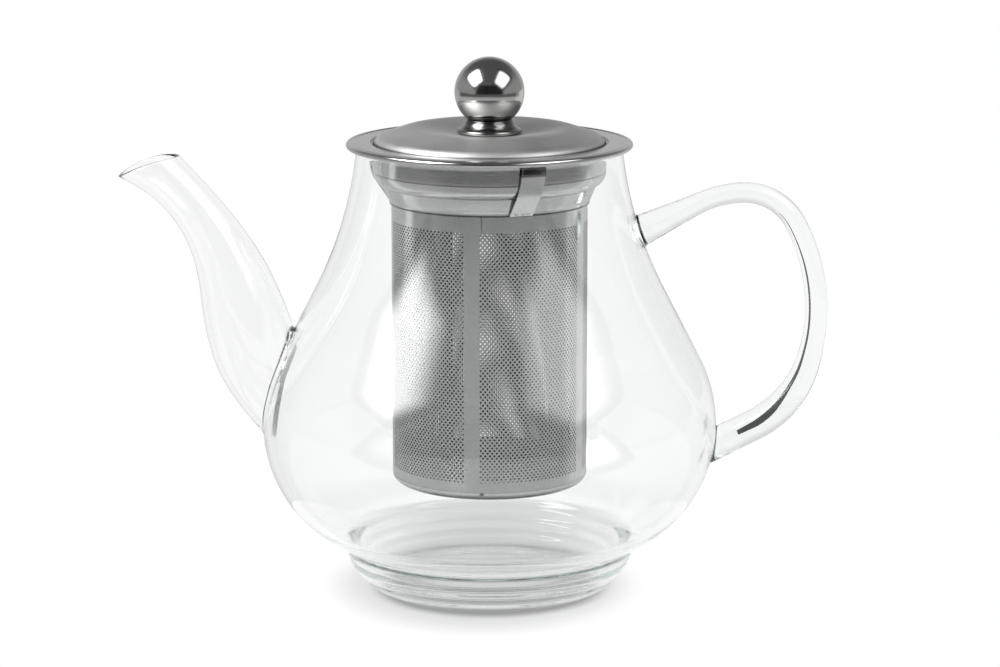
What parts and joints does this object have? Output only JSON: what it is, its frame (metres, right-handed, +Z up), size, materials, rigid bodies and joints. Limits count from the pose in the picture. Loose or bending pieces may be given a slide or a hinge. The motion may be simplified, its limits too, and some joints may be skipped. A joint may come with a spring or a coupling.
{
  "type": "glass teapot",
  "caption": "Pear-shaped glass teapot with a slim curved spout and a rod handle, and a lift-out perforated steel infuser closed by a lid with a ball knob.",
  "frame": {"origin": "centre of the foot's flat underside, on the axis of the pot", "axes": "+Z up along the pot's axis, spout towards -X, handle towards +X"},
  "size_m": [0.2037, 0.131, 0.1554],
  "materials": {
    "clear_glass": "clear fire-polished borosilicate",
    "satin_steel": "satin",
    "polished_steel": "mirror polish"
  },
  "bodies": {
    "pot": {"glass_body": "clear_glass", "glass_spout": "clear_glass", "glass_handle": "clear_glass"},
    "infuser": {"infuser_collar": "satin_steel", "infuser_tube": "satin_steel", "infuser_base": "satin_steel"},
    "clip_front": {"clip_front": "satin_steel"},
    "clip_rear": {"clip_rear": "satin_steel"},
    "clip_left": {"clip_left": "satin_steel"},
    "lid": {"lid_dome": "satin_steel", "knob_base": "polished_steel", "knob_ball": "polished_steel", "knob_screw": "polished_steel"}
  },
  "joints": [
    {"name": "infuser_lift", "type": "slide", "parent": "pot", "child": "infuser", "axis": [0, 0, 1], "range_m": [0, 0.105]},
    {"name": "lid_lift", "type": "slide", "parent": "infuser", "child": "lid", "axis": [0, 0, 1], "range_m": [0, 0.035]},
    {"name": "clip_front_flex", "type": "hinge", "parent": "infuser", "child": "clip_front", "pos_m": [0.01039, -0.02707, 0.1143], "axis": [-0.9336, -0.3584, 0], "range_deg": [0, 3], "stiffness_Nm_per_rad": 0.6},
    {"name": "clip_rear_flex", "type": "hinge", "parent": "infuser", "child": "clip_rear", "pos_m": [0.01825, 0.02254, 0.1143], "axis": [0.7771, -0.6293, 0], "range_deg": [0, 3], "stiffness_Nm_per_rad": 0.6},
    {"name": "clip_left_flex", "type": "hinge", "parent": "infuser", "child": "clip_left", "pos_m": [-0.02864, 0.00454, 0.1143], "axis": [0.1564, 0.9877, 0], "range_deg": [0, 3], "stiffness_Nm_per_rad": 0.6}
  ]
}
